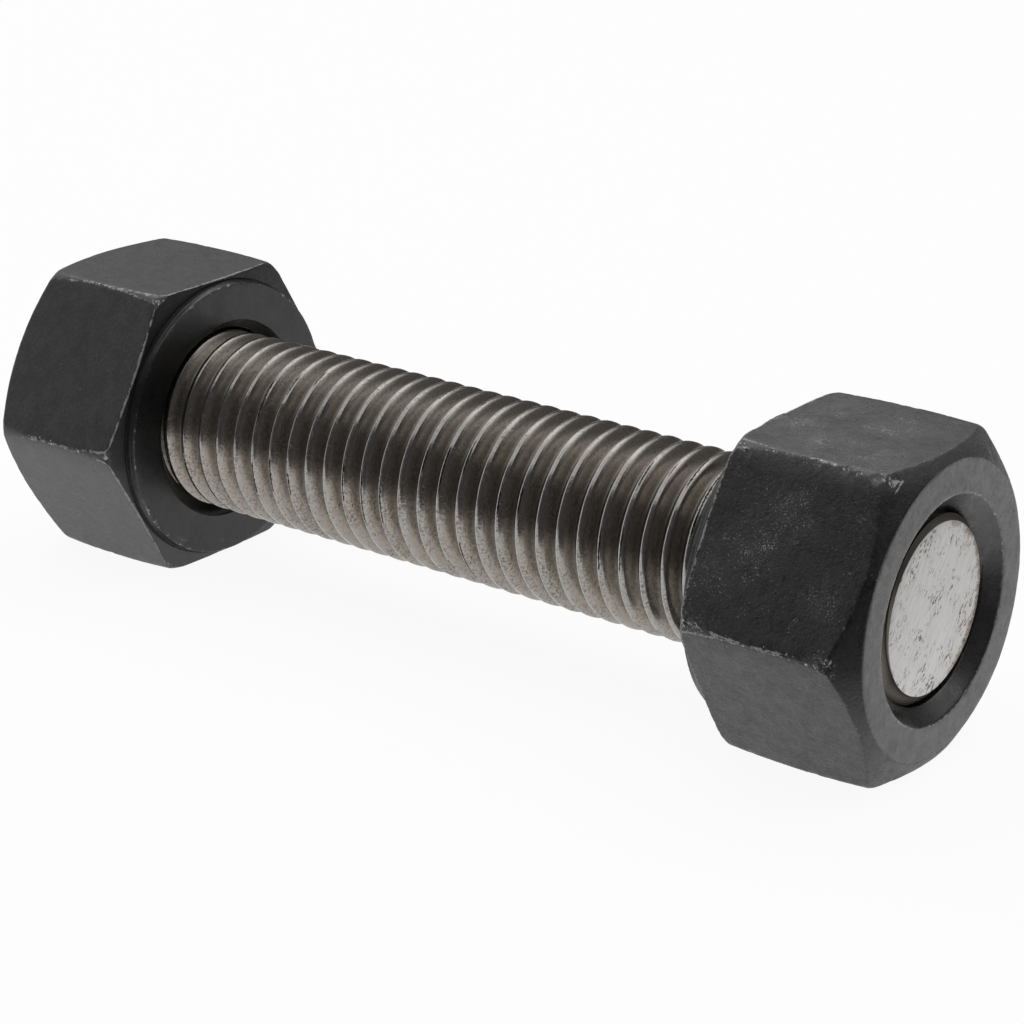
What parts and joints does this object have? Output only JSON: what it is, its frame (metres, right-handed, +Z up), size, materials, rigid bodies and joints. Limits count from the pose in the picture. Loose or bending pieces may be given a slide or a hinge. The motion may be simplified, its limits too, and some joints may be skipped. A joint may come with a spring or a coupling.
{
  "type": "threaded stud",
  "caption": "Fully threaded steel stud with a black heavy hex nut on each end, lying on the nut flats; it clamps flanges between the washer faces of its nuts.",
  "frame": {"origin": "on the resting surface, below the middle of the stud", "axes": "+X along the stud towards nut_right, +Z up, each nut resting on one flat"},
  "size_m": [0.1228, 0.0408, 0.0355],
  "materials": {
    "stud_steel": "plain rolled steel, bright on worn crests",
    "nut_black": "black oxide, satin, scuffed on the edges"
  },
  "bodies": {
    "stud": {"stud": "stud_steel"},
    "nut_left": {"nut_left": "nut_black"},
    "nut_right": {"nut_right": "nut_black"}
  },
  "joints": [
    {"name": "nut_left_travel", "type": "slide", "parent": "stud", "child": "nut_left", "axis": [-1, 0, 0], "range_m": [-0.03669, 0.01693]},
    {"name": "nut_right_travel", "type": "slide", "parent": "stud", "child": "nut_right", "axis": [1, 0, 0], "range_m": [-0.03669, 0.01693]}
  ]
}
